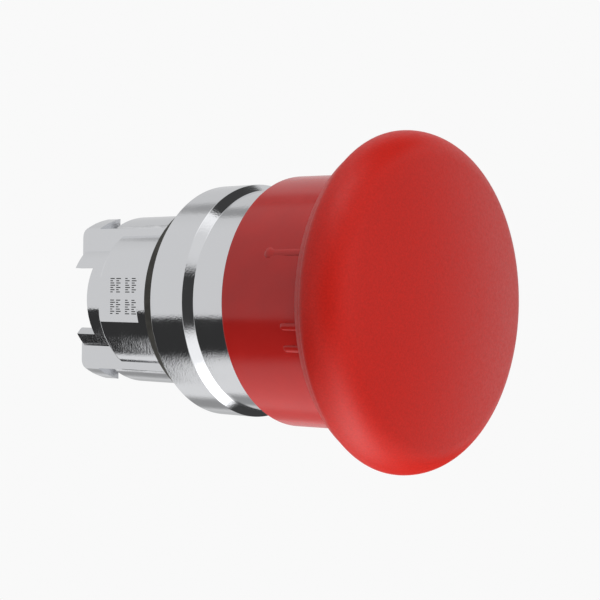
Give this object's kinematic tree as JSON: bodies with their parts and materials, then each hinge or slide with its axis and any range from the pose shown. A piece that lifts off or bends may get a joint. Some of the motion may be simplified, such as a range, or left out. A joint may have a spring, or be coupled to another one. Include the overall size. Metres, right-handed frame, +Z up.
{
  "type": "emergency stop button",
  "caption": "Mushroom-head emergency stop operator with a chromed bezel body, panel gasket and red push-pull head that latches when pressed.",
  "frame": {"origin": "centre of the plane where the gasket meets the panel, on the push axis", "axes": "+Y along the push axis, into the panel; the head faces -Y; +Z up, through the upper rib of the barrel; +X right, seen from in front of the head"},
  "size_m": [0.04, 0.0566, 0.04],
  "materials": {
    "chrome": "bright chrome on a die casting",
    "steel": "turned or drawn steel",
    "rubber": "moulded black rubber",
    "gloss_red": "glossy moulded plastic",
    "matte_red": "fine spark-textured plastic",
    "white_plastic": "natural acetal",
    "black_plastic": "moulded black plastic"
  },
  "bodies": {
    "base": {"bezel_body": "chrome", "panel_gasket": "rubber", "guide_bush": "white_plastic", "bush_snap_ring": "steel", "latch_band": "steel", "stop_buffer": "rubber", "lip_seal": "rubber", "seal_retainer": "steel", "return_spring": "steel", "latch_spring_left": "steel", "latch_spring_right": "steel"},
    "head": {"mushroom_cap": "matte_red", "head_skirt": "gloss_red", "cap_seal_ring": "rubber", "plunger_sleeve": "steel", "stem": "steel", "tie_screw": "steel", "tie_screw_washer": "steel", "rear_pusher": "black_plastic", "spring_washer": "steel"},
    "pawl_left": {"latch_pawl_left": "steel"},
    "pawl_right": {"latch_pawl_right": "steel"}
  },
  "joints": [
    {"name": "head_push", "type": "slide", "parent": "base", "child": "head", "axis": [0, 1, 0], "range_m": [0, 0.005], "deforming": ["return_spring"]},
    {"name": "pawl_left_out", "type": "slide", "parent": "base", "child": "pawl_left", "axis": [-1, 0, 0], "range_m": [0, 0.0008], "deforming": ["latch_spring_left"]},
    {"name": "pawl_right_out", "type": "slide", "parent": "base", "child": "pawl_right", "axis": [1, 0, 0], "range_m": [0, 0.0008], "deforming": ["latch_spring_right"]}
  ],
  "couplings": [
    {"joint": "pawl_left_out", "follows": "head_push", "ratio": 0.16},
    {"joint": "pawl_right_out", "follows": "head_push", "ratio": 0.16}
  ]
}
